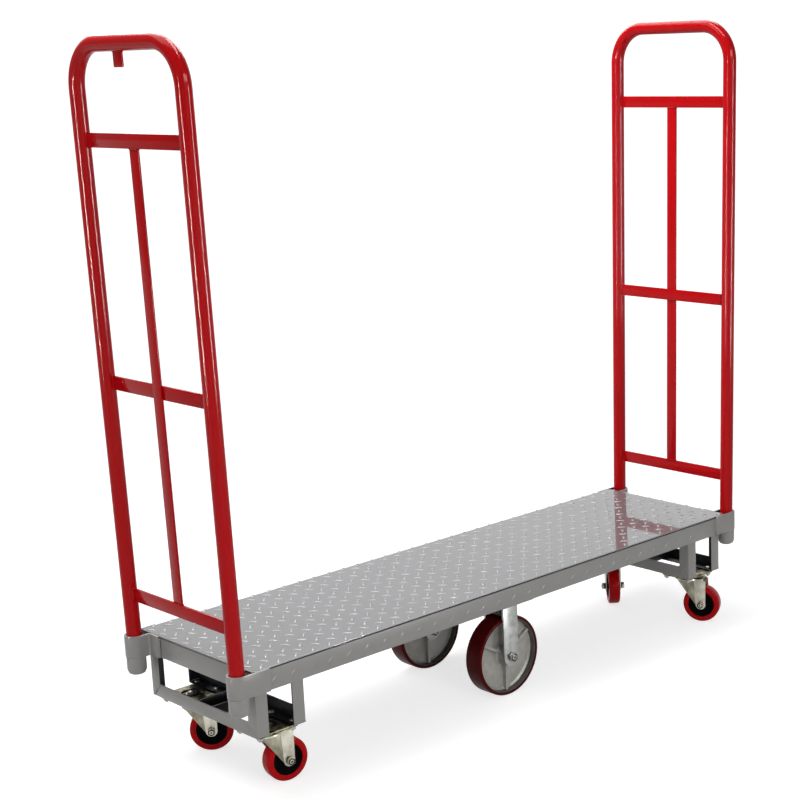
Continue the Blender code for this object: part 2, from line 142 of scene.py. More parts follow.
def roundPlate(piece, radius, segments):  # the upright corners of a flat plate
    openMesh(piece)
    roundEdges(lambda e: abs(e.verts[0].co.z - e.verts[1].co.z) > 0.001, radius, segments)
    closeMesh()


def hollowOut(wall, depth):  # in edit mode: sinks the top inside a wall
    pick("FACE", lambda f: f.normal.z > 0.9)
    bpy.ops.mesh.inset(thickness=wall)
    extrude(0, 0, -depth)


def recalculate(piece):
    openMesh(piece)
    bpy.ops.mesh.remove_doubles(threshold=0.00001)
    bpy.ops.mesh.normals_make_consistent(inside=False)
    closeMesh()
    return piece


def copyOf(piece, name, move=(0, 0, 0), degrees=0, flip=None):
    twin = piece.copy()
    twin.data = piece.data.copy()
    twin.name = name
    bpy.context.scene.collection.objects.link(twin)
    if flip:
        twin.data.transform(Matrix.Scale(-1, 4, flip))
        twin.data.flip_normals()
    return moved(twin, move, degrees)


def joined(pieces, name):
    takeUp(pieces[0])
    for piece in pieces[1:]:
        piece.select_set(True)
    if len(pieces) > 1:
        bpy.ops.object.join()
    pieces[0].name = name
    return pieces[0]


def discard(pieces):
    for piece in pieces:
        bpy.data.meshes.remove(piece.data)


def coat(piece, finish):
    piece.data.materials.clear()
    piece.data.materials.append(finish)
    return piece


def paint(piece, finish, test):  # a second finish where a face's middle and normal pass the test
    piece.data.materials.append(finish)
    openMesh(piece)
    pick("FACE", lambda f: test(f.calc_center_median(), f.normal))
    piece.active_material_index = len(piece.data.materials) - 1
    bpy.ops.object.material_slot_assign()
    closeMesh()
    return piece


def fit(piece, finish=None, nodes=(), smooth=32, body="deck_assembly"):  # without a finish it keeps its own
    takeUp(piece)
    bpy.ops.object.shade_smooth_by_angle(angle=math.radians(smooth))
    if finish:
        coat(piece, finish)
    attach(piece, body)
    if nodes:
        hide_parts(*nodes)


def boxPiece(name, corner, other):  # a cube brought to two opposite corners
    pairs = [sorted(pair) for pair in zip(corner, other)]
    return newPiece(bpy.ops.mesh.primitive_cube_add, name, [b - a for a, b in pairs], size=1,
                    location=[(a + b) / 2 for a, b in pairs])


def turnedPiece(name, profile, steps, axis="Z", closed=True):  # a drawn outline spun round an axis
    piece = newPiece(bpy.ops.mesh.primitive_plane_add, name, size=0.01)
    openMesh(piece)
    bpy.ops.mesh.merge(type="CENTER")
    bpy.ops.transform.translate(value=(profile[0][0], 0, profile[0][1]))
    corners = list(profile) + ([profile[0]] if closed else [])
    for here, there in zip(corners, corners[1:]):
        extrude(there[0] - here[0], 0, there[1] - here[1])
    bpy.ops.mesh.select_all(action="SELECT")
    spin(steps, 360, (0, 0, 0), (0, 0, 1))
    closeMesh()
    recalculate(piece)
    return moved(piece, degrees=-90, axis="X") if axis == "Y" else piece


def hexPiece(name, width, low, high):  # hexagon bar along Z with chamfered corners
    bar = newPiece(bpy.ops.mesh.primitive_cylinder_add, name, vertices=6, depth=high - low,
                   radius=width / 2 / math.cos(math.pi / 6), location=(0, 0, (low + high) / 2))
    return soften(bar, width * 0.05)


def hullPiece(name, radius, centre, depth, corners):  # a round end drawn out to the given corner points
    piece = newPiece(bpy.ops.mesh.primitive_cylinder_add, name, vertices=48, radius=radius, depth=depth,
                     location=centre, rotation=(math.radians(90), 0, 0))
    openMesh(piece)
    for x, z in corners:
        bpy.ops.mesh.select_all(action="DESELECT")
        bpy.ops.mesh.primitive_cube_add(size=depth, location=(x, centre[1], z))
        bpy.ops.transform.resize(value=(0.001, 1, 0.001))
    bpy.ops.mesh.select_all(action="SELECT")
    bpy.ops.mesh.convex_hull()
    closeMesh()
    return recalculate(piece)


def weldBead(name, start, end, width, height):  # overlapping ripples of weld metal in a row
    along, ripple = Vector(end) - Vector(start), width * 0.9
    bead = newPiece(bpy.ops.mesh.primitive_uv_sphere_add, name, (ripple, width, height * 2), segments=8,
                    ring_count=6, radius=0.5)
    count = max(2, round(along.length / (width * 0.42)))
    repeat(bead, count, ((along.length - ripple) / (count - 1), 0, 0))
    moved(bead, (ripple / 2, 0, 0))
    turn = Vector((1, 0, 0)).rotation_difference(along.normalized())
    bead.data.transform(Matrix.Translation(start) @ turn.to_matrix().to_4x4())
    return bead


# ---- materials

def linear(code):  # "#RRGGBB" as linear red, green, blue, alpha
    parts = [int(code[i:i + 2], 16) / 255 for i in (1, 3, 5)]
    return (*[p / 12.92 if p <= 0.04045 else ((p + 0.055) / 1.055) ** 2.4 for p in parts], 1)


def feed(tree, node, inputs):
    for name, value in inputs.items():
        if isinstance(value, bpy.types.NodeSocket):
            tree.links.new(value, node.inputs[name])
        else:
            node.inputs[name].default_value = value


def addNode(tree, kind, inputs=None, **settings):
    node = tree.nodes.new("ShaderNode" + kind)
    for name, value in settings.items():
        setattr(node, name, value)
    feed(tree, node, inputs or {})
    return node


def startMaterial(name, **shaderInputs):
    material = bpy.data.materials.new(name)
    material.use_nodes = True
    tree = material.node_tree
    shader = tree.nodes["Principled BSDF"]
    feed(tree, shader, {key.replace("_", " "): value for key, value in shaderInputs.items()})
    return material, tree, shader, addNode(tree, "TexCoord").outputs["Object"]


# A cloudy mix of two colours, a roughness that wanders and a slight relief. layers: size in mm, detail and
# harshness of the noise for the colour, the roughness and, if there is a third, the relief.
def surface(name, look, layers, relief, patches=(0, 1), span=(0.3, 0.7), **shaderInputs):
    material, tree, shader, place = startMaterial(name, **shaderInputs)
    noises = [addNode(tree, "TexNoise", {"Vector": place, "Scale": 1000 / size, "Detail": detail,
                                         "Roughness": harshness}).outputs["Fac"]
              for size, detail, harshness in layers]
    cloud = addNode(tree, "MapRange", {"Value": noises[0], "From Min": patches[0], "From Max": patches[1]})
    tint = addNode(tree, "Mix", {0: cloud.outputs["Result"], 6: linear(look["dark"]), 7: linear(look["light"])},
                   data_type="RGBA")
    rough = addNode(tree, "MapRange", {"Value": noises[1], "From Min": span[0], "From Max": span[1],
                                       "To Min": look["rough"][0], "To Max": look["rough"][1]})
    bump = addNode(tree, "Bump", {"Strength": look["bump"], "Distance": relief, "Height": noises[-1]})
    feed(tree, shader, {"Base Color": tint.outputs[2], "Roughness": rough.outputs["Result"],
                        "Normal": bump.outputs["Normal"]})
    return material


# Powder coat, sprayed dry and baked: an even semi-gloss film with a fine orange peel. It gives the eye soft,
# slightly broken reflections. The real peel is about 1 mm; it is drawn wider so that it still shows.
def powderCoat(name, look):
    layers = [(look["cloud"], 3, 0.5), (look["speck"], 2, 0.5), (look["peel"], 1, 0.5)]
    return surface(name, look, layers, 0.0004, IOR=1.5, Coat_Weight=look["coat"], Coat_IOR=1.5,
                   Coat_Roughness=look["coatRoughness"], Specular_IOR_Level=look["shine"])


# Zinc plating on pressed steel, clear or yellow passivated: a bright skin with cloudy patches and
# dark smudges of oil where it was handled.
def zincPlate(name, look):
    return surface(name, look, [(look["cloud"], 5, 0.5), (look["grain"], 4, 0.5)], 0.0004, (0.36, 0.6),
                   Metallic=1)


# Sand-cast grey iron with a thin coat of silver paint: pitted and matt. A darker copy is painted shade on the rim.
def castIron(name, look):
    return surface(name, look, [(look["cloud"], 4, 0.5), (look["sand"], 6, 0.65)], 0.0008,
                   Metallic=look["metallic"])


# Cast polyurethane tyre: smooth, rubbery, lit a little from inside, dulled where it has rolled.
def polyurethane(name, look):
    return surface(name, look, [(look["cloud"], 4, 0.5), (look["dust"], 5, 0.5)], 0.0003, span=(0.35, 0.7),
                   IOR=1.5, Subsurface_Weight=look["inside"], Subsurface_Scale=0.003,
                   Subsurface_Radius=(1.0, 0.25, 0.15), Coat_Weight=look["coat"], Coat_Roughness=0.12,
                   Specular_IOR_Level=look["shine"])


looks = {
    "deck": dict(dark="#7F8082", light="#88898B", cloud=120, speck=6, peel=5, bump=0.006, rough=(0.1, 0.13),
                 coat=0.95, coatRoughness=0.025, shine=0.05),
    "frame": dict(dark="#8B8A87", light="#969592", cloud=90, speck=6, peel=4, bump=0.03, rough=(0.28, 0.38),
                  coat=0.15, coatRoughness=0.2, shine=0.35),
    # painted shade: a near-black grey for the shaded insides of angles, gaps and recesses
    "inside": dict(dark="#17181C", light="#212227", cloud=30, speck=6, peel=4, bump=0.05, rough=(0.4, 0.55),
                   coat=0.0, coatRoughness=0.3, shine=0.3),
    "red": dict(dark="#AE070D", light="#BB0A11", cloud=150, speck=8, peel=6, bump=0.008, rough=(0.1, 0.15),
                coat=0.0, coatRoughness=0.06, shine=0.11),
    "forkZinc": dict(dark="#B0AD9D", light="#D2CFC2", cloud=28, grain=1.6, bump=0.05, rough=(0.26, 0.4)),
    "shadedWebZinc": dict(dark="#7C7968", light="#A19E8E", cloud=24, grain=1.6, bump=0.05, rough=(0.28, 0.42)),
    "plateZinc": dict(dark="#332E22", light="#928B70", cloud=11, grain=1.6, bump=0.06, rough=(0.26, 0.42)),
    "clearZinc": dict(dark="#8E908D", light="#A7A9A6", cloud=20, grain=1.6, bump=0.05, rough=(0.26, 0.42)),
    # dark steel, also used as painted shade in recesses and under plates
    "darkSteelAndShade": dict(dark="#1C1B19", light="#45423B", cloud=7, grain=1.4, bump=0.12, rough=(0.35, 0.5)),
    "iron": dict(dark="#8B8983", light="#AEACA6", cloud=16, sand=2.2, metallic=0.3, bump=0.3, rough=(0.42, 0.6)),
    "shadedRimIron": dict(dark="#3E3C38", light="#65625B", cloud=16, sand=2.2, metallic=0.2, bump=0.3,
                    rough=(0.5, 0.65)),
    "brightTyre": dict(dark="#AE070D", light="#BE0A12", cloud=14, dust=3, bump=0.05, rough=(0.14, 0.24),
                       inside=0.05, coat=0.0, shine=0.09),
    # painted shade: the red tyre darkened for the shade under the deck
    "shadedTyre": dict(dark="#400506", light="#5A080A", cloud=14, dust=3, bump=0.05, rough=(0.28, 0.42),
                     inside=0.0, coat=0.0, shine=0.06),
    "core": dict(dark="#030303", light="#060606", cloud=20, speck=3, peel=2, bump=0.05, rough=(0.5, 0.65),
                 coat=0.0, coatRoughness=0.3, shine=0.03),
}
deckCoat = powderCoat("grey powder coat on tread plate", looks["deck"])
frameCoat = powderCoat("grey powder coat on steel", looks["frame"])
# painted shade: this coat stands in for the shade inside the angles, gaps and recesses
paintedShadeCoat = powderCoat("painted shade inside the angles and gaps", looks["inside"])
redCoat = powderCoat("red gloss powder coat", looks["red"])
forkZinc = zincPlate("yellow passivated zinc plate", looks["forkZinc"])
shadedWebZinc = zincPlate("yellow zinc plate in painted shade", looks["shadedWebZinc"])
plateZinc = zincPlate("oiled olive zinc plate", looks["plateZinc"])
clearZinc = zincPlate("clear zinc plate", looks["clearZinc"])
darkSteelAndShade = zincPlate("dark steel and painted shade", looks["darkSteelAndShade"])
ironCoat = castIron("silver painted cast iron", looks["iron"])
shadedRimIron = castIron("cast iron in painted shade", looks["shadedRimIron"])
brightTyre = polyurethane("bright red polyurethane", looks["brightTyre"])
shadedTyre = polyurethane("red polyurethane darkened as painted shade", looks["shadedTyre"])
blackCore = powderCoat("black moulded nylon", looks["core"])
print("materials made")


# ---- deck: tread-plate sheet on two side strips, closed by flat end plates

deckLow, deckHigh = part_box("deck_plate")
deck = {
    "sheet": 0.003,
    "sideInset": 0.0008,      # the sheet stops this far inside the strips' faces
    "seam": 0.0022,           # dark line between sheet and strip
    "seamDepth": 0.0015,      # its backing, behind the strip, coated in painted shade
    "seamEnd": 0.006,         # the backing stops this far before the ends
    "seamLow": 0.010,         # and this far above the lower edge
    "seamRound": 0.0003,
    "edgeRound": 0.0012,
    "cornerRound": 0.009,
    "border": 0.0008,         # ring of faces that keeps the wide top's shading flat
    "stripRound": 0.0010,
    "stripShort": 0.007,      # the strips stop this far before the sheet's ends
    "endPlate": 0.005,
    "endPlateRound": 0.0009,
    "endPlateDrop": 0.0052,   # its top edge lies this far under the deck's top
    "endPlateSet": 0.0012,    # and its face this far behind the sheet's end
}
lug = {
    "length": 0.0255,
    "width": 0.0078,
    "height": 0.0019,
    "sink": 0.0001,           # how deep its flat underside sits in the steel
    "pitchX": 0.0468,
    "pitchY": 0.0458,
    "atX": -0.274,
    "atY": -0.130,
    "stripPitch": 0.052,
    "stripAtX": -0.3846,
    "stripAtZ": 0.2685,
    "stripEnd": 0.042,        # the strips have none this close to their ends
}
sheetTop, sheetLow = deckHigh.z, deckHigh.z - deck["sheet"]
sheet = boxPiece("deck_sheet", (deckLow.x, deckLow.y + deck["sideInset"], sheetLow),
                 (deckHigh.x, deckHigh.y - deck["sideInset"], sheetTop))
roundPlate(sheet, deck["cornerRound"], 5)
soften(sheet, deck["edgeRound"], 3, 40)
openMesh(sheet)
pick("FACE", lambda f: f.normal.z > 0.99 and f.calc_area() > 0.1)
bpy.ops.mesh.inset(thickness=deck["border"])
closeMesh()
fit(sheet, deckCoat, ["deck_plate"])

for side, sign in sides.items():
    outer, inner = sign * deckHigh.y, sign * (deckHigh.y - deck["sheet"])
    strip = boxPiece(f"deck_strip_{side}", (deckLow.x + deck["stripShort"], outer, deckLow.z),
                     (deckHigh.x - deck["stripShort"], inner, sheetLow - deck["seam"]))
    fit(soften(strip, deck["stripRound"], 3), frameCoat, ["deck_plate"])
    # painted shade: the backing is coated near-black so that the seam shows as a dark line
    backing = boxPiece(f"deck_seam_{side}", (deckLow.x + deck["seamEnd"], inner, deckLow.z + deck["seamLow"]),
                       (deckHigh.x - deck["seamEnd"], inner - sign * deck["seamDepth"], sheetLow))
    fit(soften(backing, deck["seamRound"], 1), paintedShadeCoat, ["deck_plate"])


def lugMesh(name):  # one raised lens of the tread pattern, lying along X on z = 0
    piece = newPiece(bpy.ops.mesh.primitive_uv_sphere_add, name, segments=12, ring_count=6, radius=1,
                     rotation=(0, math.pi / 2, 0))
    openMesh(piece)
    for along in (0.5, 0.866):  # draws the rings in towards pointed ends
        pick("VERT", lambda v: abs(abs(v.co.x) - along) < 0.02)
        share = math.sqrt(1 - along * along)
        bpy.ops.transform.resize(value=(1, share, share), center_override=(0, 0, 0))
    closeMesh()
    piece.scale = (lug["length"] / 2, lug["width"] / 2, lug["height"])
    return trimmed(settle(piece), [((0, 0, 0), (0, 0, -1))])


def trimmed(piece, cuts):  # cuts the pattern off at planes, as the sheared sheet is
    openMesh(piece)
    for point, normal in cuts:
        bpy.ops.mesh.select_all(action="SELECT")
        bpy.ops.mesh.bisect(plane_co=point, plane_no=normal, clear_outer=True, use_fill=True)
    closeMesh()
    return piece


def lugField(name, degrees, shift):
    piece = moved(lugMesh(name), degrees=degrees)
    start = []
    for axis, (at, pitch) in enumerate([(lug["atX"], lug["pitchX"]), (lug["atY"], lug["pitchY"])]):
        first = math.ceil((at - deckLow[axis]) / pitch) + 1
        start.append(at - first * pitch + shift * pitch)
        step = [0, 0, 0]
        step[axis] = pitch
        repeat(piece, math.ceil((deckHigh[axis] - start[axis]) / pitch) + 1, step)
    return moved(piece, (*start, sheetTop - lug["sink"]))


lugs = joined([lugField("deck_lugs", -45, 0), lugField("deck_lugs_b", 45, 0.5)], "deck_lugs")
edgeX, edgeY = deckHigh.x - deck["edgeRound"], deckHigh.y - deck["sideInset"] - deck["edgeRound"]
trimmed(lugs, [((edgeX, 0, 0), (1, 0, 0)), ((-edgeX, 0, 0), (-1, 0, 0)),
               ((0, edgeY, 0), (0, 1, 0)), ((0, -edgeY, 0), (0, -1, 0))])
fit(lugs, deckCoat, ["deck_plate"], 50)

rowStart = lug["stripAtX"] - math.floor((lug["stripAtX"] - deckLow.x) / lug["stripPitch"]) * lug["stripPitch"]
rowEnd = deckHigh.x - lug["stripEnd"]
for side in sides:
    row = moved(lugMesh(f"strip_lugs_{side}"), degrees=40)
    moved(row, (rowStart, deckLow.y + lug["sink"], lug["stripAtZ"]), 90, "X")
    repeat(row, math.floor((deckHigh.x - rowStart) / lug["stripPitch"]) + 1, (lug["stripPitch"], 0, 0))
    trimmed(row, [((rowEnd, 0, 0), (1, 0, 0)), ((-rowEnd, 0, 0), (-1, 0, 0))])
    fit(moved(row, degrees=180) if side == "left" else row, frameCoat, ["deck_plate"], 50)

for end, sign in ends.items():
    node = f"end_plate_{end}"
    low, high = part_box(node)
    face = sign * (deckHigh.x - deck["endPlateSet"])
    back = face - sign * deck["endPlate"]
    plate = boxPiece(f"{node}_face", (face, low.y, low.z), (back, high.y, sheetTop - deck["endPlateDrop"]))
    fit(soften(plate, deck["endPlateRound"]), frameCoat, [node])
    # painted shade: the backing under the sheet's end is coated near-black for the dark gap line
    backing = boxPiece(f"end_seam_{end}", (back, low.y + deck["seamEnd"], low.z + deck["seamLow"]),
                       (back - sign * deck["seamDepth"], high.y - deck["seamEnd"], sheetLow))
    fit(soften(backing, deck["seamRound"], 1), paintedShadeCoat, [node])
print("deck made")


# ---- handle sockets: strap bent round the post, cup below it

socket = {
    "strap": 0.005,
    "strapStart": 0.759,
    "bendRadius": 0.0065,     # at the middle of the strap
    "tab": 0.030,
    "tabGap": 0.0003,         # between the tab and the deck's end
    "cupRadius": 0.0224,
    "cupEdge": 0.0016,
    "bore": 0.01885,
    "cupRound": 0.0145,
    "cupFloor": 0.004,
    "edge": 0.0012,
    "weldWidth": 0.0048,
    "weldHeight": 0.0022,
}
postX, postY = 0.8279, 0.19745
bandLow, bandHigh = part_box("socket_band_front_left")
cupLow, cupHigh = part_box("socket_cup_front_left")


def bandMesh(name):  # the strap's end face is drawn along, spun round the post and bent back on the end plate
    bend, reach = socket["bendRadius"], socket["bore"] + socket["strap"] / 2
    tabX = deckHigh.x + socket["tabGap"] + socket["strap"] / 2
    piece = newPiece(bpy.ops.mesh.primitive_plane_add, name, (bandHigh.z - bandLow.z, socket["strap"], 1), size=1,
                     rotation=(0, math.radians(90), 0),
                     location=(socket["strapStart"], postY + reach, (bandLow.z + bandHigh.z) / 2))
    openMesh(piece)
    extrude(postX - socket["strapStart"], 0, 0)
    spin(20, 180, (postX, postY, 0), (0, 0, 1))
    extrude(tabX + bend - postX, 0, 0)
    spin(6, 90, (tabX + bend, postY - reach - bend, 0), (0, 0, -1))
    extrude(0, -socket["tab"], 0)
    closeMesh()
    return soften(recalculate(piece), socket["edge"], 2, 40)


def cupMesh(name):  # a closed tube end with a round bottom and a bore from the top
    piece = newPiece(bpy.ops.mesh.primitive_cylinder_add, name, vertices=48, radius=socket["cupRadius"],
                     depth=cupHigh.z - cupLow.z, location=(postX, postY, (cupHigh.z + cupLow.z) / 2))
    openMesh(piece)
    roundEdges(lambda e: all(v.co.z < cupLow.z + 0.001 for v in e.verts), socket["cupRound"], 7)
    hollowOut(socket["cupRadius"] - socket["bore"], cupHigh.z - cupLow.z - socket["cupFloor"])
    rim = socket["cupRadius"] - 0.0003
    roundEdges(lambda e: all(v.co.z > cupHigh.z - 0.0001 and math.hypot(v.co.x - postX, v.co.y - postY) > rim
                             for v in e.verts), socket["cupEdge"], 3)
    closeMesh()
    return piece


def socketWelds(name):  # at both ends of the strap
    tabY = postY - socket["bore"] - socket["strap"] - socket["bendRadius"] - socket["tab"]
    places = [(socket["strapStart"] - 0.001, deckHigh.y + 0.0012, 0.006),
              (deckHigh.x + 0.0012, tabY + 0.0015, 0.007)]
    return joined([weldBead(name, (x, y, bandLow.z + 0.002), (x, y, bandHigh.z - short), socket["weldWidth"],
                            socket["weldHeight"]) for x, y, short in places], name)


def insideOfBand(at, normal):  # the strap's faces round the post and in the corner beside it
    return math.hypot(max(at.x - postX, 0), at.y - postY) < socket["bore"] + 0.0006 and abs(normal.z) < 0.5


socketBases = {"strap": bandMesh("band_base"), "cup_round": cupMesh("cup_base"), "welds": socketWelds("weld_base")}
# painted shade on the strap's faces round the post and in the corner beside it
paint(coat(socketBases["strap"], frameCoat), paintedShadeCoat, insideOfBand)
corners = {("front", "left"): (None, 0), ("rear", "right"): (None, 180),
           ("rear", "left"): ((1, 0, 0), 0), ("front", "right"): ((0, 1, 0), 0)}
for (end, side), (flip, degrees) in corners.items():
    tag = f"{end}_{side}"
    strap, cup, welds = [copyOf(base, f"socket_{part}_{tag}", degrees=degrees, flip=flip)
                         for part, base in socketBases.items()]
    fit(strap, None, [f"socket_band_{tag}"])
    fit(cup, frameCoat, [f"socket_cup_{tag}"])
    fit(welds, frameCoat, smooth=60)
discard(socketBases.values())
print("sockets made")


# ---- handles: bent tube, three flat rungs, an upright and weld beads, drawn about the pivot and then leaned

handle = {
    "radius": 0.0175,
    "wall": 0.002,
    "foot": -0.0448,
    "top": 1.3575,
    "bend": 0.092,
    "bar": 0.031,
    "barThickness": 0.005,
    "rungs": {"low": 0.1449, "mid": 0.63233, "top": 1.1591},
    "midSet": 0.0053,         # the middle rung lies this far towards the deck
    "edge": 0.0007,
    "weldWidth": 0.0042,
    "weldHeight": 0.002,
    "weldOff": 0.0004,        # a bead's middle lies this far off the bar's face
    "weldIn": 0.0012,         # and this far in from the tube
    "hookY": 0.027,
    "hookSize": 0.032,
    "hookRound": 0.003,
    "pivotZ": 0.2545,
    "lean": 1.2,
}


def tubeMesh(name):
    straight, shoulder = postY - handle["bend"], handle["top"] - handle["bend"]
    piece = newPiece(bpy.ops.mesh.primitive_circle_add, name, vertices=32, radius=handle["radius"],
                     location=(0, postY, handle["foot"]))
    openMesh(piece)
    extrude(0, 0, shoulder - handle["foot"])
    spin(14, 90, (0, straight, shoulder), (-1, 0, 0))
    extrude(0, -2 * straight, 0)
    spin(14, 90, (0, -straight, shoulder), (-1, 0, 0))
    extrude(0, 0, handle["foot"] - shoulder)
    closeMesh()
    return apply(recalculate(piece), "SOLIDIFY", thickness=handle["wall"], offset=-1)


def faceBeads(x, start, end):  # one on each face of a flat bar
    off = handle["barThickness"] / 2 + handle["weldOff"]
    return [weldBead("bead", (x + face * off, *start), (x + face * off, *end), handle["weldWidth"],
                     handle["weldHeight"]) for face in (-1, 1)]


def handleParts(end, sign):  # each piece with the nodes it replaces and its smoothing angle
    half, thick, edge = handle["bar"] / 2, handle["barThickness"] / 2, handle["edge"]
    parts = [(tubeMesh(f"handle_{end}_bent_tube"), [f"handle_{end}_tube"], 40)]
    beads = []
    for rung, level in handle["rungs"].items():
        x = -sign * handle["midSet"] if rung == "mid" else 0
        reach = postY - math.sqrt(handle["radius"] ** 2 - (abs(x) - thick if x else thick) ** 2)
        bar = boxPiece(f"handle_{end}_bar_{rung}", (x - thick, -reach, level - half),
                       (x + thick, reach, level + half))
        parts.append((soften(bar, edge), [f"handle_{end}_rung_{rung}"], 32))
        for y in (handle["weldIn"] - reach, reach - handle["weldIn"]):
            beads += faceBeads(x, (y, level - half), (y, level + half))
    low, high = handle["rungs"]["low"] + half, handle["rungs"]["top"] - half
    upright = boxPiece(f"handle_{end}_post_bar", (-thick, -half, low), (thick, half, high))
    parts.append((soften(upright, edge), [f"handle_{end}_upright"], 32))
    for z in (low, high):
        beads += faceBeads(0, (-half, z), (half, z))
    if end == "rear":  # the small tab under the near tube
        left, right = handle["hookY"] - handle["hookSize"] / 2, handle["hookY"] + handle["hookSize"] / 2
        seam = handle["top"] - handle["radius"]
        foot = seam - handle["hookSize"]
        hook = boxPiece("handle_rear_hook_plate", (-thick, left, foot), (thick, right, seam + 0.002))
        openMesh(hook)
        roundEdges(lambda e: all(v.co.z < foot + 0.001 for v in e.verts)
                   and abs(e.verts[0].co.y - e.verts[1].co.y) < 0.001, handle["hookRound"], 4)
        closeMesh()
        parts.append((soften(hook, edge), ["handle_rear_hook_tab"], 32))
        beads += faceBeads(0, (left, seam + 0.0005), (right, seam + 0.0005))
    parts.append((joined(beads, f"handle_{end}_weld_beads"), [], 60))
    return parts


for end, sign in ends.items():
    for piece, nodes, smooth in handleParts(end, sign):
        moved(piece, (sign * postX, 0, handle["pivotZ"]), sign * handle["lean"], "Y")
        fit(piece, redCoat, nodes, smooth, f"handle_{end}")
print("handles made")


# ---- caster frames: angle iron bent into a U, welded at the mitres, bolted to the casters

frameSizes = {
    "edge": 0.0012,
    "cornerRound": 0.0035,
    "boltX": 0.044,
    "boltY": 0.037,
    "boltAcross": 0.013,
    "boltHead": 0.0052,
    "shank": 0.0036,
    "nut": 0.0065,
    "washer": 0.0095,
    "washerThick": 0.0014,
    "weldWidth": 0.005,
    "mitreWeld": (0.001, 0.030),   # its two ends, measured in and up from the corner
    "cornerWeld": (0.005, 0.031),  # its two ends, measured along the corner
    "cornerIn": 0.0042,
}
braceSize = {"half": 0.029, "height": 0.0255, "wall": 0.003, "outer": 0.785, "inner": 0.6625, "edge": 0.0005}
kingpinX, kingpinY = 0.72375, 0.1432
flangeTop, plateLow = 0.144, 0.1337  # where the bolts clamp the frames' flanges and the caster plates


def cadCopy(node, name):  # the solid's own mesh, merged, as a start for rounding
    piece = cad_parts[node].copy()
    piece.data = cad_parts[node].data.copy()
    for key in list(piece.keys()):
        del piece[key]
    piece.name = name
    piece.parent = None
    piece.matrix_world = Matrix.Identity(4)
    bpy.context.scene.collection.objects.link(piece)
    piece.hide_render = piece.hide_viewport = False
    openMesh(piece)
    bpy.ops.mesh.remove_doubles(threshold=0.00001)
    bpy.ops.mesh.customdata_custom_splitnormals_clear()
    bpy.ops.mesh.dissolve_limited(angle_limit=math.radians(1))
    closeMesh()
    return piece


def frameWelds(name, low, high, atLow):  # at the mitres and along the corners of the upright flange
    face, inward = (low.x, 1) if atLow else (high.x, -1)
    beads, into = [], frameSizes["cornerIn"]
    for turn in sides.values():
        start, stop = [(face, turn * (high.y - way), low.z + way) for way in frameSizes["mitreWeld"]]
        beads.append(weldBead(name, start, stop, frameSizes["weldWidth"], 0.0008))
        start, stop = [(face + inward * way, turn * (high.y - into), low.z + into)
                       for way in frameSizes["cornerWeld"]]
        beads.append(weldBead(name, start, stop, frameSizes["weldWidth"], 0.0018))
    return joined(beads, f"{name}_welds")


for end, sign in ends.items():
    for part in ("outer", "inner"):
        node = f"caster_frame_{end}_{part}"
        low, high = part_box(node)
        piece = cadCopy(node, f"{node}_angle")
        openMesh(piece)
        roundEdges(lambda e: all(abs(v.co.y) > high.y - 0.0005 and v.co.z < low.z + 0.0005 for v in e.verts),
                   frameSizes["cornerRound"], 4)
        closeMesh()
        soften(piece, frameSizes["edge"], 2, 40)
        fit(piece, frameCoat, [node])
        paint(piece, paintedShadeCoat, lambda at, normal: (  # painted shade on the faces that look at the casters
            normal.x * (sign * kingpinX - at.x) > 0.02 or normal.y * at.y < -0.1
            or normal.z > 0.7 and at.z < low.z + 0.008))
        fit(frameWelds(node, low, high, (part == "outer") == (sign < 0)), frameCoat, smooth=60)

braceTop = flangeTop + braceSize["height"]
for end, sign in ends.items():  # shallow channel between the two frames, coated in painted shade but for its top edges
    brace = boxPiece(f"frame_brace_{end}", (sign * braceSize["outer"], -braceSize["half"], flangeTop),
                     (sign * braceSize["inner"], braceSize["half"], braceTop))
    openMesh(brace)
    hollowOut(braceSize["wall"], braceSize["height"] - braceSize["wall"])
    closeMesh()
    soften(brace, braceSize["edge"], 2, 40)
    # painted shade on the channel, the frame's grey on its top edges
    fit(paint(coat(brace, paintedShadeCoat), frameCoat, lambda at, normal: at.z > braceTop - 0.0006))


def plateBolts(name):  # hex bolts from above with a washer and nut below
    across, shank, washer = frameSizes["boltAcross"], frameSizes["shank"], frameSizes["washer"]
    places = [(sx * frameSizes["boltX"], sy * frameSizes["boltY"]) for sx in (-1, 1) for sy in (-1, 1)]
    under = plateLow - frameSizes["washerThick"]
    nutLow = under - frameSizes["nut"]
    tip = nutLow - 0.0035
    bolts = []
    for i, (x, y) in enumerate(places):
        bolt = joined([
            hexPiece(name, across, flangeTop, flangeTop + frameSizes["boltHead"]),
            turnedPiece(name, [(0, plateLow), (washer, plateLow), (washer, under), (0, under)], 24, closed=False),
            hexPiece(name, across, nutLow, under),
            turnedPiece(name, [(0, nutLow), (shank, nutLow), (shank, tip + 0.001), (shank - 0.0008, tip), (0, tip)],
                        16, closed=False)], name)
        bolts.append(moved(bolt, (x, y, 0), math.degrees(0.7 * i + 0.2)))
    return joined(bolts, name)


boltBase = plateBolts("bolt_base")
for end, endSign in ends.items():
    for side, sideSign in sides.items():
        bolts = copyOf(boltBase, f"caster_bolts_{end}_{side}", (endSign * kingpinX, sideSign * kingpinY, 0))
        fit(bolts, clearZinc, smooth=30)
discard([boltBase])
print("caster frames made")


# ---- swivel casters, drawn once about the kingpin with the wheel trailing along +X

